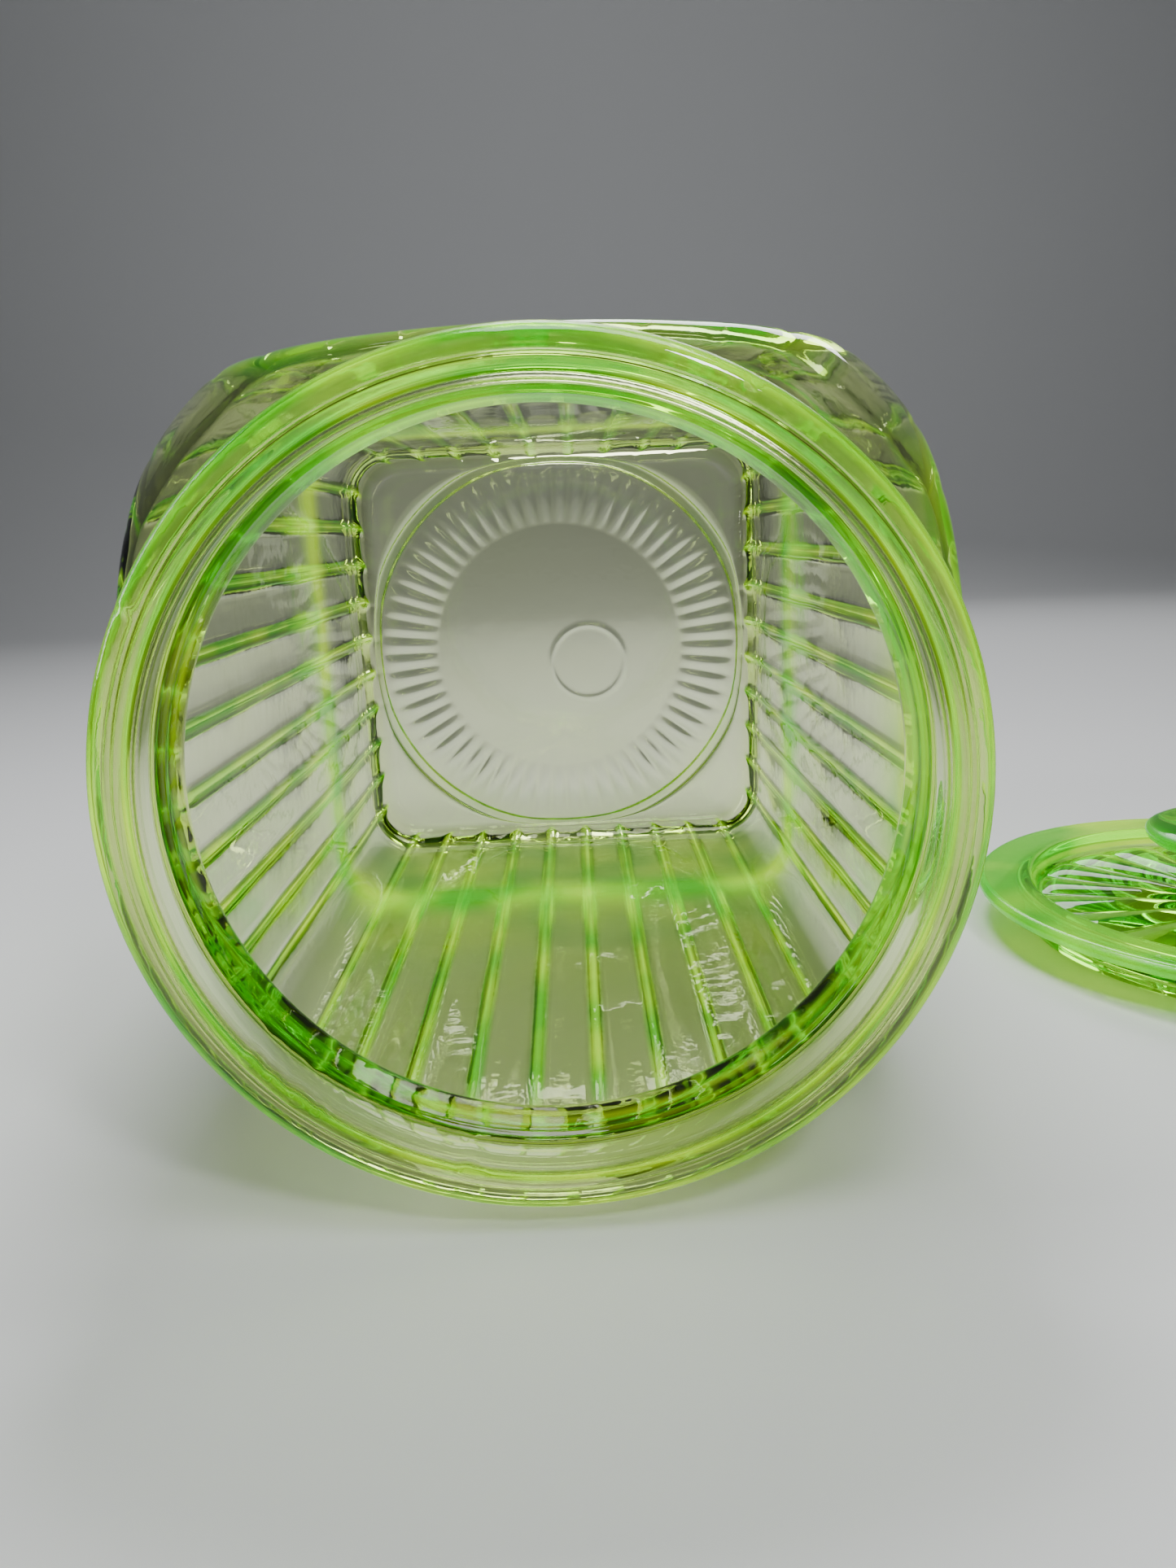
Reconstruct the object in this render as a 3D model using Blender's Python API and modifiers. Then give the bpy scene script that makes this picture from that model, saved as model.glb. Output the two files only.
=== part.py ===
"""A square ribbed glass jar lying on one side, with its loose round lid beside it.

Metres, +Z up, standing surface at Z = 0. The jar's axis runs along Y with the mouth
towards -Y; the lid lies knob upwards at the jar's +X side.
"""
import math

import bmesh
import bpy
from mathutils import Vector

MM = 0.001
MERGE_DISTANCE = 0.05 * MM
GLASS_ROUGHNESS = 0.06

# Jar. Depths are measured from the front of the rim back along the axis.
JAR_LENGTH = 212.0
HALF_WIDTH = 64.0
CORNER_RADIUS = 17.5
CORNER_FACETS = 4
RIBS_PER_SIDE = 9
RIB_DEPTH = 0.9
RIB_FACETS = 3
RIBBED_HALF_SPAN = 51.0
BASE_PLANE = JAR_LENGTH - 1.2

# Shoulder dome: (depth, radius) of the round surface that trims the square body.
SHOULDER_DOME = ((10.8, 54.5), (14.0, 58.9), (18.0, 62.5), (22.0, 65.9), (26.0, 69.1), (30.0, 72.2),
                 (36.0, 75.8), (44.0, 79.5), (52.0, 82.6), (60.0, 86.2))
DOME_BLEND = 3.0
# Heel: (distance before the base plane, inset of the section).
HEEL_STEPS = ((8.0, 0.0), (4.6, 0.3), (2.2, 0.9), (0.7, 1.7), (0.0, 2.6))

# Rim and neck, outer side: (radius, depth), from the mouth back.
NECK_PROFILE = ((50.0, 0.0), (58.4, 0.0), (59.8, 0.6), (60.5, 2.0), (60.4, 4.4), (59.7, 6.4),
                (58.2, 8.2), (57.5, 10.2), (57.5, 17.0), (50.0, 17.0))
NECK_STEPS = 64

# Inside: bore of the rim that the lid's plug drops into, then the hollow of the body.
MOUTH_OVERRUN = 2.0
BORE_PROFILE = ((-MOUTH_OVERRUN, 53.6), (0.0, 53.6), (0.9, 53.4), (2.4, 53.9), (5.6, 54.2), (8.6, 53.9),
                (9.9, 53.2), (12.6, 52.8), (16.6, 52.5))
INNER_HALF_WIDTH = 60.4
INNER_CORNER_RADIUS = 13.0
INNER_DOME = ((19.4, 55.4), (23.0, 59.4), (28.0, 64.4), (34.0, 69.2), (42.0, 74.0), (50.0, 78.0),
              (58.0, 82.4))
INNER_FLOOR = JAR_LENGTH - 7.0
INNER_HEEL_STEPS = ((10.0, 0.0), (5.2, 0.8), (2.2, 2.4), (0.0, 6.0))
INNER_SIDE_FACETS = 11
INNER_CORNER_FACETS = 5

# Foot ring and the pressed details inside it.
FOOT_RING_PROFILE = ((57.4, 0.7), (58.0, 1.2), (60.2, 1.2), (60.7, 0.7), (60.7, -2.0), (57.4, -2.0))
FLUTE_COUNT = 60
FLUTE_RINGS = ((36.0, 0.0, 0.0), (39.0, 0.5, 0.25), (46.0, 1.0, 0.3), (53.4, 0.7, 0.2), (55.2, 0.0, 0.0))
VALVE_MARK_CENTRE = (9.0, -5.2)
VALVE_MARK_PROFILE = ((10.9, 2.0), (12.3, 2.0), (12.1, -0.6), (11.1, -0.6))
VALVE_MARK_STEPS = 32
CUT_OVERRUN = 2.0

# Lid: (radius, height above its foot), outer side top to bottom, closed on the axis.
LID_CENTRE = (163.0, -4.8)
LID_PROFILE = ((0.0, 26.0), (21.8, 26.0), (24.2, 25.2), (25.2, 23.8), (24.8, 22.4), (23.2, 21.6),
               (13.0, 19.6), (11.0, 17.0), (11.0, 9.2), (13.0, 6.6), (47.6, 6.6), (48.6, 7.6),
               (49.8, 10.9), (50.6, 11.5), (61.4, 11.5), (62.6, 10.5), (62.6, 9.2), (61.6, 8.2),
               (53.2, 8.1), (52.0, 7.2), (51.2, 0.8), (50.5, 0.0), (47.0, 0.0), (46.2, 0.8),
               (44.0, 2.2), (0.0, 2.2))
LID_STEPS = 60
PETAL_COUNT = 20
PETAL_SHAPE = (0.0, 0.8, 1.0, 0.8)
PETAL_VALLEY = 6.9
PETAL_RINGS = ((11.8, 0.8), (20.0, 1.6), (32.0, 1.9), (42.5, 1.9), (46.4, 1.3), (48.0, 0.2))
PETAL_BASE = 4.8
PETAL_TUCK = 3.0


def clear_scene():
    for obj in list(bpy.data.objects):
        bpy.data.objects.remove(obj, do_unlink=True)


def make_collection(name):
    collection = bpy.data.collections.new(name)
    bpy.context.scene.collection.children.link(collection)
    return collection


def new_object(name, mesh, collection):
    obj = bpy.data.objects.new(name, mesh)
    collection.objects.link(obj)
    return obj


def glass(name, colour):
    material = bpy.data.materials.new(name)
    material.use_nodes = True
    shader = material.node_tree.nodes["Principled BSDF"]
    shader.inputs["Base Color"].default_value = (*colour, 1.0)
    shader.inputs["Roughness"].default_value = GLASS_ROUGHNESS
    shader.inputs["Metallic"].default_value = 0.0
    material.diffuse_color = (*colour, 0.4)
    return material


def smooth_min(a, b, blend):
    """Smaller of two lengths, with the change-over rounded off across the blend."""
    share = min(max(0.5 + 0.5 * (b - a) / blend, 0.0), 1.0)
    return b * (1.0 - share) + a * share - blend * share * (1.0 - share)


def side_reach(along, half_width, corner_radius):
    """Distance from the axis plane to a rounded square's side, at a place along the side."""
    over = max(abs(along) - (half_width - corner_radius), 0.0)
    return half_width - corner_radius + math.sqrt(corner_radius ** 2 - over ** 2)


def rib_drop(step):
    """Distance below the crest line at a facet's edge: flat-topped ribs with narrow valleys."""
    return RIB_DEPTH if step % RIB_FACETS == 0 else 0.0


def square_section(half_width, corner_radius, span, ribbed, side_facets, corner_facets):
    """Rounded square about the axis as (across, up) points, one side and corner at a time.

    The span is half the length of side that is cut into facets; the rest of the corner follows.
    """
    flat = half_width - corner_radius
    start = math.asin((span - flat) / corner_radius)
    quarter_points = []
    for step in range(side_facets + 1):
        along = span * (2.0 * step / side_facets - 1.0)
        drop = rib_drop(step) if ribbed else 0.0
        quarter_points.append((side_reach(along, half_width, corner_radius) - drop, along))
    for step in range(1, corner_facets):
        share = step / corner_facets
        angle = start + share * (math.pi / 2.0 - 2.0 * start)
        quarter_points.append((flat + corner_radius * math.cos(angle),
                               flat + corner_radius * math.sin(angle)))
    points = []
    for quarter in range(4):
        turn = quarter * math.pi / 2.0
        for out, along in quarter_points:
            points.append((out * math.cos(turn) - along * math.sin(turn),
                           out * math.sin(turn) + along * math.cos(turn)))
    return points


def capped_section(section, radius):
    """Section pulled in wherever it reaches outside a circle."""
    points = []
    for across, up in section:
        reach = math.hypot(across, up)
        capped = smooth_min(reach, radius, DOME_BLEND)
        points.append((across * capped / reach, up * capped / reach))
    return points


def circle_section(section, radius):
    """Circle with its points at the section's own angles."""
    return [(a * radius / math.hypot(a, u), u * radius / math.hypot(a, u)) for a, u in section]


def inset_section(section, half_width, inset):
    scale = (half_width - inset) / half_width
    return [(a * scale, u * scale) for a, u in section]


def jar_point(across, depth, up):
    return Vector((across * MM, (depth - JAR_LENGTH / 2.0) * MM, (HALF_WIDTH + up) * MM))


def loft(name, rings, collection):
    """Closed solid through rings of equal point count, each a list of vectors, with flat ends."""
    bm = bmesh.new()
    loops = [[bm.verts.new(point) for point in ring] for ring in rings]
    count = len(rings[0])
    for first, second in zip(loops, loops[1:]):
        for i in range(count):
            j = (i + 1) % count
            bm.faces.new((first[i], first[j], second[j], second[i]))
    bm.faces.new(loops[0])
    bm.faces.new(loops[-1])
    bmesh.ops.recalc_face_normals(bm, faces=bm.faces)
    mesh = bpy.data.meshes.new(name)
    bm.to_mesh(mesh)
    bm.free()
    return new_object(name, mesh, collection)


def turned(name, profile, steps, closed, collection):
    """Screw modifier about local Z on a profile of (radius, height) pairs."""
    mesh = bpy.data.meshes.new(name)
    verts = [(radius * MM, 0.0, height * MM) for radius, height in profile]
    edges = [(i, i + 1) for i in range(len(verts) - 1)]
    if closed:
        edges.append((len(verts) - 1, 0))
    mesh.from_pydata(verts, edges, [])
    obj = new_object(name, mesh, collection)
    screw = obj.modifiers.new("turn", "SCREW")
    screw.steps = steps
    screw.render_steps = steps
    screw.use_merge_vertices = True
    screw.merge_threshold = MERGE_DISTANCE
    return obj


def lay_along_jar(obj, depth, across=0.0, up=0.0):
    """Turns local Z to the jar's axis, away from the mouth, with its zero at a depth."""
    obj.rotation_euler = (-math.pi / 2.0, 0.0, 0.0)
    obj.location = jar_point(across, depth, up)


def combine(target, cutter, operation):
    boolean = target.modifiers.new(operation.lower() + "_" + cutter.name, "BOOLEAN")
    boolean.operation = operation
    boolean.solver = "EXACT"
    boolean.object = cutter


def ribbed_body(collection):
    section = square_section(HALF_WIDTH, CORNER_RADIUS, RIBBED_HALF_SPAN, True,
                             RIBS_PER_SIDE * RIB_FACETS, CORNER_FACETS)
    rings = [[jar_point(a, depth, u) for a, u in capped_section(section, radius)]
             for depth, radius in SHOULDER_DOME]
    for before_base, inset in HEEL_STEPS:
        depth = BASE_PLANE - before_base
        rings.append([jar_point(a, depth, u) for a, u in inset_section(section, HALF_WIDTH, inset)])
    return loft("jar", rings, collection)


def hollow(collection):
    flat = INNER_HALF_WIDTH - INNER_CORNER_RADIUS
    section = square_section(INNER_HALF_WIDTH, INNER_CORNER_RADIUS, flat, False,
                             INNER_SIDE_FACETS, INNER_CORNER_FACETS)
    rings = [[jar_point(a, depth, u) for a, u in circle_section(section, radius)]
             for depth, radius in BORE_PROFILE]
    rings += [[jar_point(a, depth, u) for a, u in capped_section(section, radius)]
              for depth, radius in INNER_DOME]
    for before_floor, inset in INNER_HEEL_STEPS:
        depth = INNER_FLOOR - before_floor
        inner = inset_section(section, INNER_HALF_WIDTH, inset)
        rings.append([jar_point(a, depth, u) for a, u in inner])
    return loft("jar_hollow", rings, collection)


def neck(collection):
    profile = [(radius, -depth) for radius, depth in NECK_PROFILE]
    obj = turned("jar_neck", profile, NECK_STEPS, True, collection)
    obj.rotation_euler = (math.pi / 2.0, 0.0, 0.0)
    obj.location = jar_point(0.0, 0.0, 0.0)
    return obj


def foot_ring(collection):
    obj = turned("jar_foot_ring", FOOT_RING_PROFILE, NECK_STEPS, True, collection)
    lay_along_jar(obj, BASE_PLANE)
    return obj


def base_flutes(collection):
    """Cutter for the band of small radial flutes pressed into the base inside the foot ring."""
    count = FLUTE_COUNT * 2
    rings = []
    for radius, deep, shallow in FLUTE_RINGS:
        ring = []
        for i in range(count):
            angle = 2.0 * math.pi * i / count
            cut = deep if i % 2 else shallow
            ring.append(jar_point(radius * math.cos(angle), BASE_PLANE - cut, radius * math.sin(angle)))
        rings.append(ring)
    outer, inner = FLUTE_RINGS[-1][0], FLUTE_RINGS[0][0]
    for radius in (outer, inner):
        rings.append([jar_point(radius * math.cos(2.0 * math.pi * i / count), BASE_PLANE + CUT_OVERRUN,
                                radius * math.sin(2.0 * math.pi * i / count)) for i in range(count)])
    return loop_loft("jar_base_flutes", rings, collection)


def loop_loft(name, rings, collection):
    """Closed ring-shaped solid: the last ring joins back to the first."""
    bm = bmesh.new()
    loops = [[bm.verts.new(point) for point in ring] for ring in rings]
    count = len(rings[0])
    for k, first in enumerate(loops):
        second = loops[(k + 1) % len(loops)]
        for i in range(count):
            j = (i + 1) % count
            bm.faces.new((first[i], first[j], second[j], second[i]))
    bmesh.ops.recalc_face_normals(bm, faces=bm.faces)
    mesh = bpy.data.meshes.new(name)
    bm.to_mesh(mesh)
    bm.free()
    return new_object(name, mesh, collection)


def valve_mark(collection):
    obj = turned("jar_valve_mark", VALVE_MARK_PROFILE, VALVE_MARK_STEPS, True, collection)
    across, up = VALVE_MARK_CENTRE
    lay_along_jar(obj, BASE_PLANE, across, up)
    return obj


def build_jar(parts, cutters):
    jar = ribbed_body(parts)
    combine(jar, neck(cutters), "UNION")
    combine(jar, hollow(cutters), "DIFFERENCE")
    combine(jar, foot_ring(cutters), "UNION")
    combine(jar, base_flutes(cutters), "DIFFERENCE")
    combine(jar, valve_mark(cutters), "DIFFERENCE")
    jar.data.materials.append(glass("jar_glass", (0.60, 0.80, 0.42)))
    return jar


def petal_rosette(collection):
    """Convex ribs that radiate from the knob's stem across the lid's sunken floor."""
    per_petal = len(PETAL_SHAPE)
    count = PETAL_COUNT * per_petal

    def ring(radius, height):
        points = []
        for i in range(count):
            angle = 2.0 * math.pi * i / count
            rise = PETAL_VALLEY + height * PETAL_SHAPE[i % per_petal] if height else PETAL_BASE
            points.append(Vector((radius * math.cos(angle) * MM, radius * math.sin(angle) * MM, rise * MM)))
        return points

    inner, outer = PETAL_RINGS[0][0], PETAL_RINGS[-1][0]
    hidden = inner - PETAL_TUCK
    rings = [ring(radius, height) for radius, height in PETAL_RINGS]
    rings += [ring(outer, 0.0), ring(hidden, 0.0)]
    rings.append([Vector((p.x * hidden / inner, p.y * hidden / inner, p.z)) for p in rings[0]])
    return loop_loft("lid_petals", rings, collection)


def build_lid(parts, cutters):
    lid = turned("lid", LID_PROFILE, LID_STEPS, False, parts)
    lid.location = (LID_CENTRE[0] * MM, LID_CENTRE[1] * MM, 0.0)
    petals = petal_rosette(cutters)
    petals.location = lid.location
    combine(lid, petals, "UNION")
    lid.data.materials.append(glass("lid_glass", (0.58, 0.85, 0.22)))
    return lid


def shade_smooth(obj):
    obj.data.polygons.foreach_set("use_smooth", [True] * len(obj.data.polygons))


def build():
    clear_scene()
    parts = make_collection("ribbed_glass_jar")
    cutters = make_collection("cutters")
    jar = build_jar(parts, cutters)
    lid = build_lid(parts, cutters)
    for obj in (jar, lid):
        shade_smooth(obj)
    for cutter in cutters.objects:
        cutter.hide_render = True
        cutter.display_type = "WIRE"


build()
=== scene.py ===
"""Square ribbed uranium-glass jar on its side, mouth to the camera, with its loose round lid."""
import math

import bpy
import numpy as np
from mathutils import Matrix, Vector


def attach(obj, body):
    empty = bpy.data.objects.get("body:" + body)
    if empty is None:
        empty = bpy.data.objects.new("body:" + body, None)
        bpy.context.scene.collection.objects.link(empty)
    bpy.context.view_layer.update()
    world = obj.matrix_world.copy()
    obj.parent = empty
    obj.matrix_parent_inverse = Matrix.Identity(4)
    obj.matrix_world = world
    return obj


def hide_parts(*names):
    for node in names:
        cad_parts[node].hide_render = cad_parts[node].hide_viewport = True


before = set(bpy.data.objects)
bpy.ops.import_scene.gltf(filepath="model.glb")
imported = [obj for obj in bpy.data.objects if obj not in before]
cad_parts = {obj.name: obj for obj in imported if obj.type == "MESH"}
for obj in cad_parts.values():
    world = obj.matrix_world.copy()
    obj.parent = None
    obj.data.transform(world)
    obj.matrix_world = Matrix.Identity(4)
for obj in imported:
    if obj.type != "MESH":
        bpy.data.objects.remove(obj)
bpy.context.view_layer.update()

MM = 0.001
TAU = 2.0 * math.pi
QUARTER_TURN = math.pi / 2.0

# Jar, in millimetres. Depths are measured from the front of the rim back along the axis.
JAR_LENGTH = 212.0
HALF_WIDTH = 64.0
CORNER_RADIUS = 17.5
RIBS_PER_SIDE = 9
RIBBED_HALF_SPAN = 51.0
RIB_CROWN = 0.35
GROOVE_DEPTH = 0.65
GROOVE_HALF_WIDTH = 2.0
GROOVE_POWER = 1.3
RIB_SAMPLES = 14
CORNER_SAMPLES = 14
BASE_PLANE = JAR_LENGTH - 1.2
HEEL_DEPTH = 8.0
HEEL_INSET = 2.6
DOME_BLEND = 3.0
NECK_END = 12.0
# Where the ribs rise behind the shoulder, and how softly the dome cuts off their painted glow.
RIB_FADE = (28.0, 42.0)
RIB_END_BLEND = 2.0

# (depth, radius): rim bead and neck outside, then the dome that trims the body.
OUTSIDE_PROFILE = ((0.0, 56.4), (0.14, 56.6), (0.14, 56.8), (0.0, 57.1), (0.08, 58.2), (0.4, 59.2),
                   (1.0, 60.0), (2.0, 60.45), (3.2, 60.5), (4.4, 60.35), (5.6, 60.0), (6.8, 59.3),
                   (8.0, 58.3), (9.2, 57.6), (10.4, 57.4), (11.6, 57.6), (13.0, 58.3),
                   (15.0, 59.8), (18.0, 62.5), (22.0, 65.9), (26.0, 69.1), (30.0, 72.2),
                   (36.0, 75.8), (44.0, 79.5), (52.0, 82.6), (60.0, 86.2))
# (depth, radius): face, ridge, channel, bore and its lip, then the dome of the hollow.
INSIDE_PROFILE = ((0.0, 56.4), (0.12, 55.8), (0.45, 55.1), (0.6, 54.6), (0.35, 54.1), (0.1, 53.8),
                  (0.25, 53.4), (0.9, 53.3), (1.8, 53.6), (3.4, 54.1), (5.6, 54.2), (7.6, 54.0),
                  (8.9, 53.7), (9.5, 53.3), (9.8, 53.05), (10.6, 53.0), (12.0, 52.85),
                  (14.4, 52.6), (16.0, 52.5), (17.0, 52.8), (18.0, 53.6), (19.6, 55.4),
                  (23.0, 59.4), (28.0, 64.4), (34.0, 69.2), (42.0, 74.0), (50.0, 78.0),
                  (58.0, 82.4))
INNER_HALF_WIDTH = 60.4
INNER_CORNER_RADIUS = 13.0
INNER_RIB_DEPTH = 0.22
INNER_FLOOR = JAR_LENGTH - 7.0
INNER_HEEL_DEPTH = 10.0
INNER_HEEL_INSET = 6.0
INNER_FLOOR_CROWN = 0.35
INNER_CROWN_RADIUS = 50.0
INNER_WAVE_FADE = 20.0
# Slow waves of the inside: height, waves around, twist with depth, turn.
INNER_WAVES = ((0.07, 3.0, 0.11, 0.0), (0.05, 7.0, -0.17, 1.3))
# A painted green band of glow inside the hollow, where light gathers: its depth, width and strength.
GREEN_BAND_DEPTH = 145.0
GREEN_BAND_WIDTH = 8.0
GREEN_BAND_GLOW = 1.3

# Chips in the rim's edges: angle in degrees, radius, size across, depth.
RIM_CHIPS = ((219.0, 53.9, 1.5, 0.5), (223.0, 54.3, 1.1, 0.4), (228.0, 53.8, 1.8, 0.55),
             (231.5, 54.2, 0.9, 0.35), (255.5, 53.9, 1.2, 0.5), (257.5, 54.6, 0.8, 0.35),
             (61.0, 59.9, 0.8, 0.3), (152.0, 59.8, 0.7, 0.3))

# Worn edges of the rim, outside and inside: radius, width, and how far back they reach.
OUTER_WEAR = (60.1, 0.4)
OUTER_WEAR_DEPTH = 2.0
INNER_WEAR = (53.7, 0.5)
INNER_WEAR_DEPTH = 1.0
CHIPPED_BORE_DEPTH = 8.0

# Painted green glow around the mouth, standing in for light that the thick glass gathers and lets out:
# (place, width, strength), by radius on the front face and by depth in the bore, more of it in the bore's
# upper half; then along the top and right-hand walls, and along the bottom and the lower parts of the
# sides.
FACE_GLOW = ((59.4, 0.7, 1.7), (54.9, 0.5, 1.7))
OUTER_FACE_DEPTH = 1.5
INNER_FACE_DEPTH = 0.8
INNER_FACE_RADIUS = 54.2
BORE_GLOW = ((5.0, 2.4, 0.2), (9.6, 0.4, 0.5), (12.4, 0.9, 0.9), (17.2, 0.6, 1.3))
WALL_GLOW = (42.0, 17.0, 1.1)
WALL_GLOW_REACH = 3.0
UPPER_BORE_GLOW = (12.0, 5.0, 1.1)
LOW_GLOW = (160.0, 50.0, 0.5)
VALLEY_GLOW = 1.9
VALLEY_GLOW_FADE = 1.5

# Base: foot ring (radius, height above the base plane), radial flutes, which keep a least share
# of their depth between one another, and the round valve mark.
FOOT_RING = ((60.9, 0.0), (60.6, 0.7), (60.0, 1.12), (59.1, 1.17), (58.2, 1.12), (57.6, 0.6),
             (57.2, 0.0))
FLUTE_COUNT = 60
FLUTE_INNER = 38.5
FLUTE_OUTER = 56.6
FLUTE_DEPTH = 1.5
FLUTE_LEAST_SHARE = 0.25
# Painted green glow of the foot ring, then its real wear.
FOOT_GLOW = 0.2
FOOT_WEAR = 0.4
VALVE_CENTRE = (9.0, -5.2)
VALVE_RADIUS = 11.6
VALVE_WIDTH = 0.7
VALVE_DEPTH = 0.45

# How finely the jar's mesh follows its outlines: spacings in millimetres, then counts of rings.
JAR_SPACING = 0.8
FOOT_SPACING = 0.4
FLUTE_SPACING = 0.8
MIDDLE_SPACING = 0.6
MIDDLE_RADIUS = 0.5
BODY_RINGS = 30
HEEL_RINGS = 15
BASE_EDGE_RINGS = 7
INNER_BODY_RINGS = 46
INNER_HEEL_RINGS = 12
INNER_FLOOR_RINGS = 24
INNER_FLOOR_SHARE = 0.98

# Lid, in millimetres: (radius, height above its foot). The knob runs from its top round its edge
# and down the stem, the rim from the well's wall over the flange and the plug to the underside.
LID_CENTRE = (163.0, -4.8)
KNOB_PROFILE = ((0.0, 25.75), (8.0, 25.85), (16.0, 26.0), (21.4, 25.95), (23.6, 25.4),
                (24.8, 24.6), (25.2, 23.8), (25.0, 22.9), (24.2, 22.1), (22.8, 21.5), (18.0, 20.6),
                (14.0, 19.8), (12.0, 18.8), (11.1, 17.2), (10.9, 13.0), (11.0, 9.8), (12.0, 8.1))
RIM_PROFILE = ((48.2, 7.1), (48.7, 7.9), (49.3, 9.2), (49.8, 10.3), (50.3, 11.0), (51.0, 11.4),
               (52.0, 11.5), (56.0, 11.4), (60.8, 11.45), (61.8, 11.1), (62.45, 10.5),
               (62.55, 9.9), (62.3, 9.1), (61.4, 8.5), (58.0, 8.35), (53.4, 8.1), (52.2, 7.4),
               (51.6, 6.0), (51.3, 2.6), (51.0, 0.9), (50.4, 0.15), (48.8, 0.03), (47.0, 0.15),
               (46.3, 0.7), (45.3, 1.6), (43.8, 2.1), (30.0, 2.2), (12.0, 2.2), (0.0, 2.2))
LID_FLOOR = 6.6
PETAL_COUNT = 20
PETAL_SAMPLES = 18
PETAL_HEIGHT = 1.5
PETAL_INNER = 12.2
PETAL_OUTER = 48.0
PETAL_ROUNDED_SHARE = 0.14
PETAL_START_RISE = 0.5
PETAL_RISE_RATE = 1.4
PETAL_SEAM = 0.02
PETAL_RINGS = 34
LID_SPACING = 0.6
WELL_WALL_RADIUS = 50.2
FLANGE_INNER_RADIUS = 52.0
FLANGE_UNDERSIDE = 7.6

# Painted green glow and wear of the lid: bands as (radius, width), then strengths of the painted glow.
KNOB_EDGE = (25.0, 1.3)
KNOB_WEAR = (24.6, 0.8)
FLANGE_WEAR = (62.2, 0.8)
KNOB_LEAST_GLOW = 0.2
KNOB_EDGE_GLOW = 0.8
PETAL_LEAST_GLOW = 0.04
PETAL_END_GLOW = 0.8
WELL_WALL_GLOW = 1.0
FLANGE_CORNER_GLOW = 0.5
FLANGE_GLOW = 0.8

# Glass: pairs of colours that a slow mottle runs between, the strength of the painted green glow
# (which stands in for light the glass gathers and lets out), and the colour and density that thick glass
# takes on.
JAR_GLASS = {"tints": ((0.995, 1.0, 0.98), (0.97, 1.0, 0.92)), "painted_glow_strength": 0.40,
             "absorb_colour": (0.88, 0.995, 0.25), "absorb_density": 90.0}
LID_GLASS = {"tints": ((0.97, 1.0, 0.88), (0.86, 1.0, 0.50)), "painted_glow_strength": 0.42,
             "absorb_colour": (0.78, 0.995, 0.08), "absorb_density": 210.0}
# Painted glow: the greens the passed light turns to where the glow is painted, then the colours the
# painted glow shines in.
PAINTED_GLOW_TINTS = ((0.16, 0.60, 0.0), (0.60, 0.92, 0.02))
PAINTED_GLOW_COLOURS = ((0.05, 0.44, 0.0), (0.50, 0.84, 0.0))
GLASS_IOR = 1.5
TINT_STOPS = (0.3, 0.75)
MOTTLE_STOPS = (0.38, 0.62)

# Noise as (scale, detail), and the polish, scratches and press marks made from it.
TINT_NOISE = (28.0, 2.0)
MOTTLE_NOISE = (38.0, 1.5)
SCRATCH_NOISE = (1.0, 3.0)
GRAIN_NOISE = (1400.0, 2.0)
WAVE_NOISE = (150.0, 2.0)
SCRATCH_STRETCH = (900.0, 60.0, 900.0)
SCRATCH_STOPS = (0.55, 0.78)
POLISHED_ROUGHNESS = 0.004
SCRATCHED_ROUGHNESS = 0.07
WORN_ROUGHNESS = 0.35
LEAST_GRAIN = 0.02
WAVE_HEIGHT = 0.45
BUMP_STRENGTH = 0.16
BUMP_DISTANCE = 0.0006

# Stage, in metres: a floor that bends up into a backdrop.
STAGE_WIDTH = 9.0
STAGE_FRONT = -3.0
STAGE_BACK = 1.6
STAGE_HEIGHT = 2.6
STAGE_BEND = 0.5
STAGE_BEND_STEPS = 12
STAGE_COLOUR = (0.60, 0.61, 0.62, 1.0)
STAGE_ROUGHNESS = 0.85

# Soft lights: name, place, target and size in metres, power in watts.
LIGHTS = (("key", (0.12, -0.35, 0.95), (0.0, 0.0, 0.06), (0.55, 0.35), 5.3),
          ("side", (-0.8, -0.1, 0.45), (0.0, 0.0, 0.06), (0.15, 0.6), 2.4),
          ("back", (0.25, 0.85, 0.75), (0.0, 0.05, 0.06), (0.7, 0.35), 4.8),
          ("glint", (0.18, -0.42, 0.42), (0.0, -0.09, 0.05), (0.07, 0.07), 1.1),
          ("overhead", (0.0, 0.09, 0.52), (0.0, -0.02, 0.06), (0.14, 0.06), 1.6),
          ("backdrop", (0.0, 0.65, 1.5), (0.0, 1.6, 0.7), (1.2, 0.3), 1.6))
SKY_COLOUR = (0.92, 0.96, 1.0, 1.0)
SKY_STRENGTH = 0.08

# Camera: the view straight into the mouth, a little above the jar's axis, tipped down. The
# sensor and the lens are in millimetres, the places in metres.
SENSOR_WIDTH = 36.0
LENS = 33.284429
CAMERA_PLACE = (0.0052, -0.2450, 0.0990)
CAMERA_PITCH = math.radians(13.0)
CAMERA_YAW = math.radians(0.31)
CAMERA_ROLL = math.radians(2.63)
CAMERA_CLIP_START = 0.01


# ---------------------------------------------------------------- mesh helpers

def smooth_curve(points, spacing):
    """Catmull-Rom curve through (x, y) points, sampled about every spacing."""
    pts = np.array(points, dtype=float)
    ends = np.vstack((2.0 * pts[0] - pts[1], pts, 2.0 * pts[-1] - pts[-2]))
    out = []
    for i in range(len(pts) - 1):
        p0, p1, p2, p3 = ends[i:i + 4]
        steps = max(2, int(np.linalg.norm(p2 - p1) / spacing + 0.999))
        for t in np.arange(steps) / steps:
            out.append(0.5 * (2.0 * p1 + (p2 - p0) * t + (2.0 * p0 - 5.0 * p1 + 4.0 * p2 - p3) * t ** 2
                              + (3.0 * p1 - p0 - 3.0 * p2 + p3) * t ** 3))
    out.append(pts[-1])
    return np.array(out)


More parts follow.
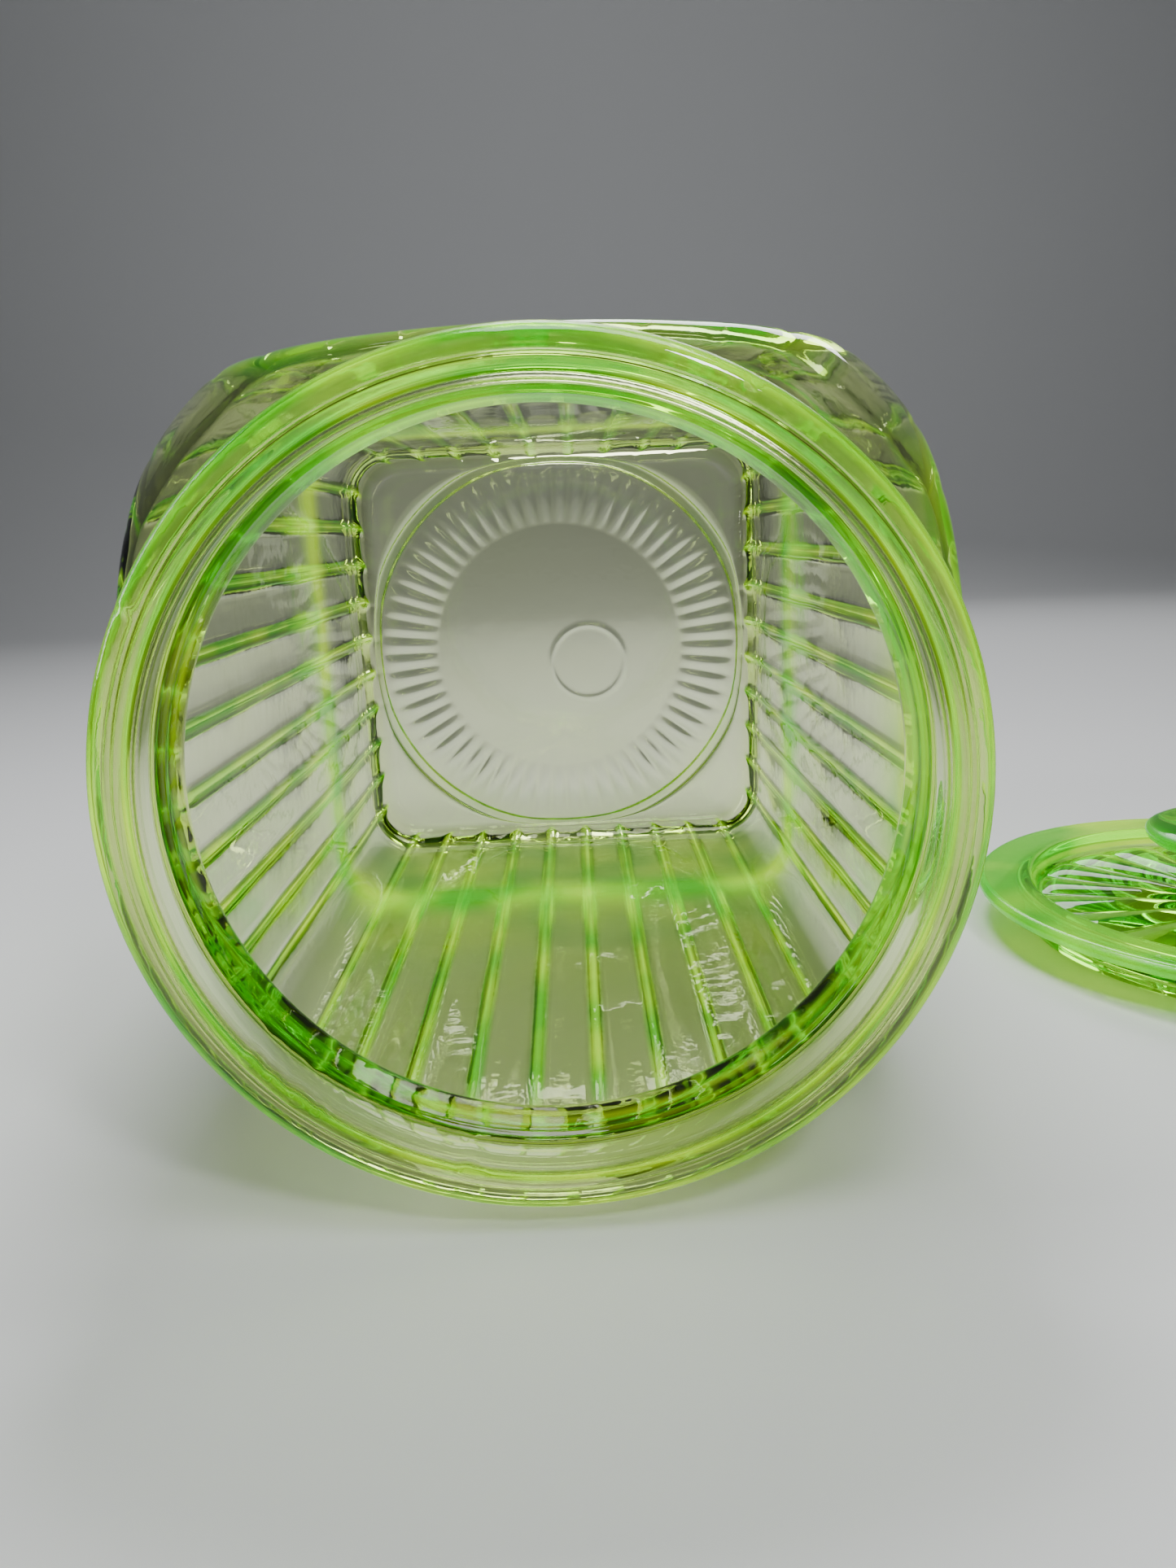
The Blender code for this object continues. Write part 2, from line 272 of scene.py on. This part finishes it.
def smooth_min(a, b, blend):
    """The smaller of two lengths, rounded over where they are alike."""
    share = np.clip(0.5 + 0.5 * (b - a) / blend, 0.0, 1.0)
    return b * (1.0 - share) + a * share - blend * share * (1.0 - share)


def side_reach(along, half_width, corner_radius):
    """Distance from the axis plane to a rounded square's side, at places along the side."""
    over = np.maximum(np.abs(along) - (half_width - corner_radius), 0.0)
    return half_width - corner_radius + np.sqrt(corner_radius ** 2 - over ** 2)


def rib_drop(from_valley):
    """Depth below the crest line: slightly crowned ribs parted by narrow grooves."""
    half_pitch = RIBBED_HALF_SPAN / RIBS_PER_SIDE
    crown = RIB_CROWN * (1.0 - np.minimum(from_valley / half_pitch, 1.0)) ** 2
    groove = GROOVE_DEPTH * np.clip(1.0 - from_valley / GROOVE_HALF_WIDTH, 0.0, 1.0) ** GROOVE_POWER
    return crown + groove


def square_section(half_width, corner_radius, drop_scale, fade):
    """Rounded square with ribs cut into its sides; returns points and nearness to a groove."""
    flat = half_width - corner_radius
    span = RIBBED_HALF_SPAN * half_width / HALF_WIDTH
    start = math.asin((span - flat) / corner_radius)
    side_count = RIBS_PER_SIDE * RIB_SAMPLES
    local = (np.arange(side_count) % RIB_SAMPLES) / RIB_SAMPLES
    pitch = 2.0 * RIBBED_HALF_SPAN / RIBS_PER_SIDE
    from_valley = np.minimum(local, 1.0 - local) * pitch
    side_along = span * (2.0 * np.arange(side_count) / side_count - 1.0)
    side_out = side_reach(side_along, half_width, corner_radius) - drop_scale * rib_drop(from_valley)
    share = np.arange(CORNER_SAMPLES) / CORNER_SAMPLES
    angle = start + share * (QUARTER_TURN - 2.0 * start)
    arc = np.minimum(share, 1.0 - share) * corner_radius
    reach = corner_radius - drop_scale * rib_drop(arc)
    out = np.concatenate((side_out, flat + reach * np.cos(angle)))
    along = np.concatenate((side_along, flat + reach * np.sin(angle)))
    near = np.clip(1.0 - np.concatenate((from_valley, arc)) / fade, 0.0, 1.0)
    points = []
    for quarter in range(4):
        turn = quarter * QUARTER_TURN
        across = out * math.cos(turn) - along * math.sin(turn)
        up = out * math.sin(turn) + along * math.cos(turn)
        points.append(np.stack((across, up), axis=1))
    return np.concatenate(points), np.tile(near, 4)


def capped(section, radius):
    """The section drawn in to a radius wherever it reaches further."""
    reach = np.hypot(section[:, 0], section[:, 1])
    return section * (smooth_min(reach, radius, DOME_BLEND) / reach)[:, None]


def circle(section, radius):
    """The section's points, each moved onto a circle."""
    reach = np.hypot(section[:, 0], section[:, 1])
    return section * (radius / reach)[:, None]


def ring_faces(ring_count, count):
    """Quads between neighbouring rings, then triangles to a tip at each end."""
    faces = []
    for k in range(ring_count - 1):
        low, high = k * count, (k + 1) * count
        for i in range(count):
            j = (i + 1) % count
            faces.append((low + i, low + j, high + j, high + i))
    first, last = ring_count * count, ring_count * count + 1
    top = (ring_count - 1) * count
    for i in range(count):
        j = (i + 1) % count
        faces.append((j, i, first))
        faces.append((top + i, top + j, last))
    return faces


def surface(name, rings, traits, first_tip, last_tip):
    """Closed mesh through rings of equal point count, capped by a point at each end."""
    verts = np.concatenate([np.asarray(ring) for ring in rings] + [np.array([first_tip, last_tip])])
    mesh = bpy.data.meshes.new(name)
    mesh.from_pydata((verts * MM).tolist(), [], ring_faces(len(rings), len(rings[0])))
    mesh.update()
    mesh.polygons.foreach_set("use_smooth", [True] * len(mesh.polygons))
    for trait, values in traits.items():
        layer = mesh.attributes.new(trait, "FLOAT", "POINT")
        layer.data.foreach_set("value", np.concatenate(values + [[0.0, 0.0]]).astype(np.float32))
    obj = bpy.data.objects.new(name, mesh)
    bpy.context.scene.collection.objects.link(obj)
    return obj


def face_outwards(obj):
    """Turns the faces outwards if the closed mesh came out inside out."""
    mesh = obj.data
    total = 0.0
    for polygon in mesh.polygons:
        total += polygon.center.dot(polygon.normal) * polygon.area
    if total < 0.0:
        mesh.flip_normals()


# ---------------------------------------------------------------- jar

class Rings:
    """Rings of points with, for each point, how much painted green glow it carries and how worn it is."""

    def __init__(self):
        self.points = []
        self.painted_glow = []
        self.wear = []

    def add(self, points, painted_glow=0.0, wear=0.0):
        count = len(points)
        self.points.append(points)
        self.painted_glow.append(np.broadcast_to(np.asarray(painted_glow, dtype=float), (count,)))
        self.wear.append(np.broadcast_to(np.asarray(wear, dtype=float), (count,)))

    def traits(self):
        return {"painted_glow": self.painted_glow, "wear": self.wear}

    def followed_by(self, other):
        self.points += other.points
        self.painted_glow += other.painted_glow
        self.wear += other.wear

    def reversed(self):
        self.points.reverse()
        self.painted_glow.reverse()
        self.wear.reverse()


def bell(value, middle, width):
    """Smooth bump that is 1 at the middle and fades over the width."""
    return math.exp(-((value - middle) / width) ** 2)


def jar_ring(section, depth):
    depths = np.broadcast_to(np.asarray(depth, dtype=float), (len(section),))
    return np.stack((section[:, 0], depths - JAR_LENGTH / 2.0, section[:, 1] + HALF_WIDTH), axis=1)


def chipped(section, depth):
    """Extra depth where small chips are missing from the rim's edges."""
    extra = np.full(len(section), float(depth))
    for degrees, radius, size, deep in RIM_CHIPS:
        angle = math.radians(degrees)
        off = np.hypot(section[:, 0] - radius * math.cos(angle), section[:, 1] - radius * math.sin(angle))
        extra += deep * np.exp(-(off / size) ** 4)
    return extra


def banded(place, bands):
    """Sum of soft bands, each a middle, a width and a strength."""
    return sum(strength * bell(place, middle, width) for middle, width, strength in bands)


def wall_glow(section, depth):
    """Painted green glow on the top and right-hand walls, where the light gathers, strongest just behind
    the shoulder.
    """
    middle, width, strength = WALL_GLOW
    reach = np.maximum(section[:, 0], section[:, 1])
    near = np.clip((reach - HALF_WIDTH + WALL_GLOW_REACH) / WALL_GLOW_REACH, 0.0, 1.0)
    return strength * near * bell(depth, middle, width)


def low_glow(section, depth):
    """Painted green glow gathering along the bottom and the lower parts of the sides."""
    middle, width, strength = LOW_GLOW
    return strength * np.clip(-section[:, 1] / HALF_WIDTH, 0.0, 1.0) ** 2 * bell(depth, middle, width)


def side_glow(section, valley, depth):
    """Painted green glow of the ribbed walls: in the grooves, and spread where the light gathers."""
    spread = np.maximum(wall_glow(section, depth), low_glow(section, depth))
    return np.maximum(VALLEY_GLOW * valley, spread)


def heel_steps(count, plane, heel_depth, heel_inset):
    """Share of the way, inset and depth of each ring around a rounded heel."""
    for share in np.linspace(0.0, 1.0, count)[1:]:
        angle = share * QUARTER_TURN
        yield share, heel_inset * (1.0 - math.cos(angle)), plane - heel_depth * (1.0 - math.sin(angle))


def add_neck_and_shoulder(rings, section, smooth, valley):
    """From the rim's front back over the neck to where the ribs stand at full height."""
    reach = np.hypot(section[:, 0], section[:, 1])
    for depth, radius in smooth_curve(OUTSIDE_PROFILE, JAR_SPACING):
        share = min(max((depth - RIB_FADE[0]) / (RIB_FADE[1] - RIB_FADE[0]), 0.0), 1.0)
        ribbed = share * np.clip((radius - reach) / RIB_END_BLEND + 1.0, 0.0, 1.0)
        ring = capped(section * share + smooth * (1.0 - share), radius)
        if depth > NECK_END:
            rings.add(jar_ring(ring, depth), side_glow(ring, valley * ribbed, depth))
        else:
            # Painted green glow at the front face's edges; the wear is real and only roughens the glass.
            edge = banded(radius, FACE_GLOW) if depth < OUTER_FACE_DEPTH else 0.0
            worn = bell(radius, *OUTER_WEAR) if depth < OUTER_WEAR_DEPTH else 0.0
            rings.add(jar_ring(ring, chipped(ring, depth)), edge, worn)


def outer_rings():
    section, valley = square_section(HALF_WIDTH, CORNER_RADIUS, 1.0, VALLEY_GLOW_FADE)
    smooth, _ = square_section(HALF_WIDTH, CORNER_RADIUS, 0.0, VALLEY_GLOW_FADE)
    rings = Rings()
    add_neck_and_shoulder(rings, section, smooth, valley)
    start = OUTSIDE_PROFILE[-1][0]
    for depth in np.linspace(start, BASE_PLANE - HEEL_DEPTH, BODY_RINGS)[1:]:
        rings.add(jar_ring(section, depth), side_glow(section, valley, depth))
    for t, inset, depth in heel_steps(HEEL_RINGS, BASE_PLANE, HEEL_DEPTH, HEEL_INSET):
        share = 1.0 - t ** 3
        shape = section * share + smooth * (1.0 - share)
        # The grooves' painted green glow fades out round the heel.
        rings.add(jar_ring(shape * (HALF_WIDTH - inset) / HALF_WIDTH, depth), VALLEY_GLOW * valley * share)
    return rings


def flute_depths(points, radius):
    """How deep the radial flutes cut into the base at the points of one circle."""
    angle = np.arctan2(points[:, 1], points[:, 0])
    across = min(max((FLUTE_OUTER - radius) / (FLUTE_OUTER - FLUTE_INNER), 0.0), 1.0)
    lobes = np.abs(np.sin(angle * FLUTE_COUNT / 2.0))
    share = FLUTE_LEAST_SHARE + (1.0 - FLUTE_LEAST_SHARE) * lobes
    return FLUTE_DEPTH * math.sin(math.pi * across) * share


def valve_depths(points):
    """How deep the thin round valve mark cuts into the base."""
    off = np.hypot(points[:, 0] - VALVE_CENTRE[0], points[:, 1] - VALVE_CENTRE[1]) - VALVE_RADIUS
    return VALVE_DEPTH * np.exp(-(off / VALVE_WIDTH) ** 2)


def base_rings(edge):
    """Underside of the base from the heel's square edge in to the middle."""
    rings = Rings()
    ring = circle(edge, FOOT_RING[0][0])
    for t in np.linspace(0.0, 1.0, BASE_EDGE_RINGS)[1:-1]:
        rings.add(jar_ring(edge * (1.0 - t) + ring * t, BASE_PLANE))
    for radius, height in smooth_curve(FOOT_RING, FOOT_SPACING):
        # The foot ring carries painted glow and real wear.
        rings.add(jar_ring(circle(edge, radius), BASE_PLANE + height), FOOT_GLOW, FOOT_WEAR)
    fluted = np.arange(FLUTE_OUTER, FLUTE_INNER, -FLUTE_SPACING)
    middle = np.arange(FLUTE_INNER, MIDDLE_RADIUS, -MIDDLE_SPACING)
    for radius in np.concatenate((fluted, middle)):
        points = circle(edge, radius)
        rings.add(jar_ring(points, BASE_PLANE - flute_depths(points, radius) - valve_depths(points)))
    return rings


def inner_wave(points, depth):
    """Slow unevenness that the plunger leaves on the inside."""
    angle = np.arctan2(points[:, 1], points[:, 0])
    return sum(height * np.sin(lobes * angle + depth * twist + turn)
               for height, lobes, twist, turn in INNER_WAVES)


def bore_glow(ring, depth, radius):
    """Painted green glow of the rim's inner face, and of the bore and its lip behind it."""
    if depth < INNER_FACE_DEPTH and radius > INNER_FACE_RADIUS:
        return banded(radius, FACE_GLOW)
    middle, width, strength = UPPER_BORE_GLOW
    upper = np.clip(ring[:, 1] / radius, 0.0, 1.0)
    return banded(depth, BORE_GLOW) + strength * upper * bell(depth, middle, width)


def add_bore(rings, section):
    """From the rim's face back through the bore and the dome of the hollow."""
    for depth, radius in smooth_curve(INSIDE_PROFILE, JAR_SPACING)[1:]:
        ring = capped(section, radius)
        painted_glow = bore_glow(ring, depth, radius)
        if depth < CHIPPED_BORE_DEPTH:
            worn = bell(radius, *INNER_WEAR) if depth < INNER_WEAR_DEPTH else 0.0
            rings.add(jar_ring(ring, chipped(ring, depth)), painted_glow, worn)
        else:
            rings.add(jar_ring(ring, depth), painted_glow)


def add_inner_floor(rings, section):
    """Rounded heel of the hollow, then its slightly crowned floor."""
    for _, inset, depth in heel_steps(INNER_HEEL_RINGS, INNER_FLOOR, INNER_HEEL_DEPTH, INNER_HEEL_INSET):
        rings.add(jar_ring(section * (INNER_HALF_WIDTH - inset) / INNER_HALF_WIDTH, depth))
    edge = section * (INNER_HALF_WIDTH - INNER_HEEL_INSET) / INNER_HALF_WIDTH
    for t in np.linspace(0.0, INNER_FLOOR_SHARE, INNER_FLOOR_RINGS)[1:]:
        ring = edge * (1.0 - t)
        radius = np.hypot(ring[:, 0], ring[:, 1])
        crown = INNER_FLOOR_CROWN * np.cos(np.clip(radius / INNER_CROWN_RADIUS, 0.0, 1.0) * QUARTER_TURN)
        rings.add(jar_ring(ring, INNER_FLOOR + crown))


def inner_rings():
    section, _ = square_section(INNER_HALF_WIDTH, INNER_CORNER_RADIUS, INNER_RIB_DEPTH, VALLEY_GLOW_FADE)
    rings = Rings()
    add_bore(rings, section)
    start = INSIDE_PROFILE[-1][0]
    for depth in np.linspace(start, INNER_FLOOR - INNER_HEEL_DEPTH, INNER_BODY_RINGS)[1:]:
        wave = inner_wave(section, depth) * min((depth - start) / INNER_WAVE_FADE, 1.0)
        # Painted green glow in a band around the inside of the hollow.
        green = GREEN_BAND_GLOW * bell(depth, GREEN_BAND_DEPTH, GREEN_BAND_WIDTH)
        rings.add(jar_ring(section * (1.0 + wave / INNER_HALF_WIDTH)[:, None], depth), green)
    add_inner_floor(rings, section)
    return rings


def build_jar():
    outside = outer_rings()
    base = base_rings(outside.points[-1][:, [0, 2]] - (0.0, HALF_WIDTH))
    rings = inner_rings()
    rings.reversed()
    rings.followed_by(outside)
    rings.followed_by(base)
    first = (0.0, INNER_FLOOR + INNER_FLOOR_CROWN - JAR_LENGTH / 2.0, HALF_WIDTH)
    last = (0.0, BASE_PLANE - JAR_LENGTH / 2.0, HALF_WIDTH)
    jar = surface("jar_glass", rings.points, rings.traits(), first, last)
    face_outwards(jar)
    return jar


# ---------------------------------------------------------------- lid

def lid_ring(radius, height, angle):
    heights = np.broadcast_to(np.asarray(height, dtype=float), (len(angle),))
    across = LID_CENTRE[0] + radius * np.cos(angle)
    along = LID_CENTRE[1] + radius * np.sin(angle)
    return np.stack((across, along, heights), axis=1)


def add_petals(rings, angle):
    """Convex ribs with rounded outer ends, across the sunken floor."""
    local = (np.arange(len(angle)) % PETAL_SAMPLES) / PETAL_SAMPLES
    arch = 1.0 - (2.0 * local - 1.0) ** 2
    for t in np.linspace(0.0, 1.0, PETAL_RINGS):
        radius = PETAL_INNER + (PETAL_OUTER - PETAL_INNER) * t
        rise = PETAL_HEIGHT * min(PETAL_START_RISE + PETAL_RISE_RATE * t, 1.0)
        end = np.clip((t - (1.0 - PETAL_ROUNDED_SHARE)) / PETAL_ROUNDED_SHARE, 0.0, 1.0)
        height = LID_FLOOR + rise * arch * np.sqrt(np.clip(1.0 - end ** 2, 0.0, 1.0))
        # Painted green glow, strongest at the petals' outer ends.
        painted_glow = PETAL_LEAST_GLOW + PETAL_END_GLOW * t ** 5
        rings.add(lid_ring(radius, np.maximum(height, LID_FLOOR + PETAL_SEAM), angle), painted_glow)


def rim_glow(radius):
    """Painted green glow of the well's wall, then of the flange's inner corner and of the flange."""
    if radius < WELL_WALL_RADIUS:
        return WELL_WALL_GLOW
    return FLANGE_GLOW if radius > FLANGE_INNER_RADIUS else FLANGE_CORNER_GLOW


def build_lid():
    angle = np.arange(PETAL_COUNT * PETAL_SAMPLES) / (PETAL_COUNT * PETAL_SAMPLES) * TAU
    rings = Rings()
    for radius, height in smooth_curve(KNOB_PROFILE, LID_SPACING)[1:]:
        # Painted green glow, strongest round the knob's edge; the wear is real.
        painted_glow = KNOB_LEAST_GLOW + KNOB_EDGE_GLOW * bell(radius, *KNOB_EDGE)
        rings.add(lid_ring(radius, height, angle), painted_glow, bell(radius, *KNOB_WEAR))
    add_petals(rings, angle)
    for radius, height in smooth_curve(RIM_PROFILE, LID_SPACING)[:-1]:
        if height > FLANGE_UNDERSIDE:
            rings.add(lid_ring(radius, height, angle), rim_glow(radius), bell(radius, *FLANGE_WEAR))
        else:
            rings.add(lid_ring(radius, height, angle))
    top = (*LID_CENTRE, KNOB_PROFILE[0][1])
    bottom = (*LID_CENTRE, RIM_PROFILE[-1][1])
    lid = surface("lid_glass", rings.points, rings.traits(), top, bottom)
    face_outwards(lid)
    return lid


# ---------------------------------------------------------------- materials

def add(tree, kind, **values):
    node = tree.nodes.new(kind)
    for key, value in values.items():
        setattr(node, key, value)
    return node


def ramp(tree, source, positions, colours):
    """Colour that runs from the first of two colours to the second between two positions."""
    node = add(tree, "ShaderNodeValToRGB")
    tree.links.new(source, node.inputs["Fac"])
    for element, position, colour in zip(node.color_ramp.elements, positions, colours):
        element.position = position
        element.color = (*colour, 1.0)
    return node.outputs["Color"]


def noise(tree, coords, scale, detail):
    node = add(tree, "ShaderNodeTexNoise")
    node.inputs["Scale"].default_value = scale
    node.inputs["Detail"].default_value = detail
    tree.links.new(coords, node.inputs["Vector"])
    return node.outputs["Fac"]


def attribute(tree, name):
    return add(tree, "ShaderNodeAttribute", attribute_name=name).outputs["Fac"]


def math_node(tree, operation, first, second):
    node = add(tree, "ShaderNodeMath", operation=operation)
    for socket, value in zip(node.inputs, (first, second)):
        if isinstance(value, (int, float)):
            socket.default_value = value
        else:
            tree.links.new(value, socket)
    return node.outputs["Value"]


def glass_tint(tree, coords, mottle, painted_glow, tints):
    """Colour of the light passed on: nearly clear, and deep green where the glow is painted."""
    patch = ramp(tree, noise(tree, coords, *TINT_NOISE), TINT_STOPS, tints)
    edge = ramp(tree, mottle, MOTTLE_STOPS, PAINTED_GLOW_TINTS)
    mix = add(tree, "ShaderNodeMix", data_type="RGBA")
    tree.links.new(painted_glow, mix.inputs["Factor"])
    tree.links.new(patch, mix.inputs["A"])
    tree.links.new(edge, mix.inputs["B"])
    return mix.outputs["Result"]


def glass_roughness(tree, coords, wear):
    """Polished glass with fine scratches, rougher where it is worn."""
    stretched = add(tree, "ShaderNodeMapping")
    stretched.inputs["Scale"].default_value = SCRATCH_STRETCH
    tree.links.new(coords, stretched.inputs["Vector"])
    scratches = noise(tree, stretched.outputs["Vector"], *SCRATCH_NOISE)
    greys = ((POLISHED_ROUGHNESS,) * 3, (SCRATCHED_ROUGHNESS,) * 3)
    rough = ramp(tree, scratches, SCRATCH_STOPS, greys)
    return math_node(tree, "ADD", rough, math_node(tree, "MULTIPLY", wear, WORN_ROUGHNESS))


def glass_normal(tree, coords, wear):
    """Slow press waves and fine grain, with more grain where the glass is worn."""
    amount = math_node(tree, "ADD", wear, LEAST_GRAIN)
    grain = math_node(tree, "MULTIPLY", amount, noise(tree, coords, *GRAIN_NOISE))
    waves = math_node(tree, "MULTIPLY", noise(tree, coords, *WAVE_NOISE), WAVE_HEIGHT)
    bump = add(tree, "ShaderNodeBump")
    bump.inputs["Strength"].default_value = BUMP_STRENGTH
    bump.inputs["Distance"].default_value = BUMP_DISTANCE
    tree.links.new(math_node(tree, "ADD", waves, grain), bump.inputs["Height"])
    return bump.outputs["Normal"]


def glass_absorption(tree, colour, density):
    absorption = add(tree, "ShaderNodeVolumeAbsorption")
    absorption.inputs["Color"].default_value = (*colour, 1.0)
    absorption.inputs["Density"].default_value = density
    return absorption.outputs["Volume"]


def uranium_glass(name, tints, painted_glow_strength, absorb_colour, absorb_density):
    """Clear glass with painted light: where the glow is painted it passes greener light and shines green
    of its own, though it is no lamp.
    """
    material = bpy.data.materials.new(name)
    material.use_nodes = True
    tree = material.node_tree
    shader = tree.nodes["Principled BSDF"]
    coords = add(tree, "ShaderNodeTexCoord").outputs["Object"]
    painted_glow = attribute(tree, "painted_glow")
    wear = attribute(tree, "wear")
    mottle = noise(tree, coords, *MOTTLE_NOISE)
    sources = {"Base Color": glass_tint(tree, coords, mottle, painted_glow, tints),
               # Emission here is painted glow, shining green wherever the glow mask lies.
               "Emission Color": ramp(tree, mottle, MOTTLE_STOPS, PAINTED_GLOW_COLOURS),
               "Emission Strength": math_node(tree, "MULTIPLY", painted_glow, painted_glow_strength),
               "Roughness": glass_roughness(tree, coords, wear),
               "Normal": glass_normal(tree, coords, wear)}
    for socket, source in sources.items():
        tree.links.new(source, shader.inputs[socket])
    shader.inputs["Transmission Weight"].default_value = 1.0
    shader.inputs["IOR"].default_value = GLASS_IOR
    shader.inputs["Metallic"].default_value = 0.0
    volume = glass_absorption(tree, absorb_colour, absorb_density)
    tree.links.new(volume, tree.nodes["Material Output"].inputs["Volume"])
    return material


def stage_material():
    material = bpy.data.materials.new("pale_floor")
    material.use_nodes = True
    shader = material.node_tree.nodes["Principled BSDF"]
    shader.inputs["Base Color"].default_value = STAGE_COLOUR
    shader.inputs["Roughness"].default_value = STAGE_ROUGHNESS
    return material


# ---------------------------------------------------------------- stage, lights, camera

def build_stage():
    """Floor that curves up into a backdrop behind the object."""
    foot = STAGE_BACK - STAGE_BEND
    profile = [(STAGE_FRONT, 0.0), (foot, 0.0)]
    for step in range(1, STAGE_BEND_STEPS + 1):
        angle = step / STAGE_BEND_STEPS * QUARTER_TURN
        profile.append((foot + STAGE_BEND * math.sin(angle), STAGE_BEND - STAGE_BEND * math.cos(angle)))
    profile.append((STAGE_BACK, STAGE_HEIGHT))
    verts = [(side * STAGE_WIDTH / 2.0, y, z) for y, z in profile for side in (-1.0, 1.0)]
    faces = [(2 * i, 2 * i + 1, 2 * i + 3, 2 * i + 2) for i in range(len(profile) - 1)]
    mesh = bpy.data.meshes.new("floor")
    mesh.from_pydata(verts, [], faces)
    mesh.polygons.foreach_set("use_smooth", [True] * len(mesh.polygons))
    floor = bpy.data.objects.new("floor", mesh)
    bpy.context.scene.collection.objects.link(floor)
    mesh.materials.append(stage_material())


def area_light(name, place, target, size, power):
    data = bpy.data.lights.new(name, "AREA")
    data.shape = "RECTANGLE"
    data.size, data.size_y = size
    data.energy = power
    light = bpy.data.objects.new(name, data)
    light.location = place
    direction = Vector(target) - Vector(place)
    light.rotation_euler = direction.to_track_quat("-Z", "Y").to_euler()
    bpy.context.scene.collection.objects.link(light)


def build_lights():
    for name, place, target, size, power in LIGHTS:
        area_light(name, place, target, size, power)
    world = bpy.data.worlds.new("studio")
    world.use_nodes = True
    background = world.node_tree.nodes["Background"]
    background.inputs["Color"].default_value = SKY_COLOUR
    background.inputs["Strength"].default_value = SKY_STRENGTH
    bpy.context.scene.world = world


def build_camera():
    data = bpy.data.cameras.new("camera")
    data.sensor_fit = "HORIZONTAL"
    data.sensor_width = SENSOR_WIDTH
    data.lens = LENS
    data.clip_start = CAMERA_CLIP_START
    forward = Vector((math.sin(CAMERA_YAW) * math.cos(CAMERA_PITCH),
                      math.cos(CAMERA_YAW) * math.cos(CAMERA_PITCH), -math.sin(CAMERA_PITCH)))
    level = Vector((math.cos(CAMERA_YAW), -math.sin(CAMERA_YAW), 0.0))
    down = forward.cross(level)
    right = level * math.cos(CAMERA_ROLL) + down * math.sin(CAMERA_ROLL)
    up = level * math.sin(CAMERA_ROLL) - down * math.cos(CAMERA_ROLL)
    turn = Matrix((right, up, -forward)).transposed().to_4x4()
    camera = bpy.data.objects.new("camera", data)
    camera.matrix_world = Matrix.Translation(CAMERA_PLACE) @ turn
    bpy.context.scene.collection.objects.link(camera)
    bpy.context.scene.camera = camera


def main():
    jar = build_jar()
    jar.data.materials.append(uranium_glass("jar_uranium_glass", **JAR_GLASS))
    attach(jar, "jar")
    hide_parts("jar")

    lid = build_lid()
    lid.data.materials.append(uranium_glass("lid_uranium_glass", **LID_GLASS))
    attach(lid, "lid")
    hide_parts("lid")

    build_stage()
    build_lights()
    build_camera()


main()
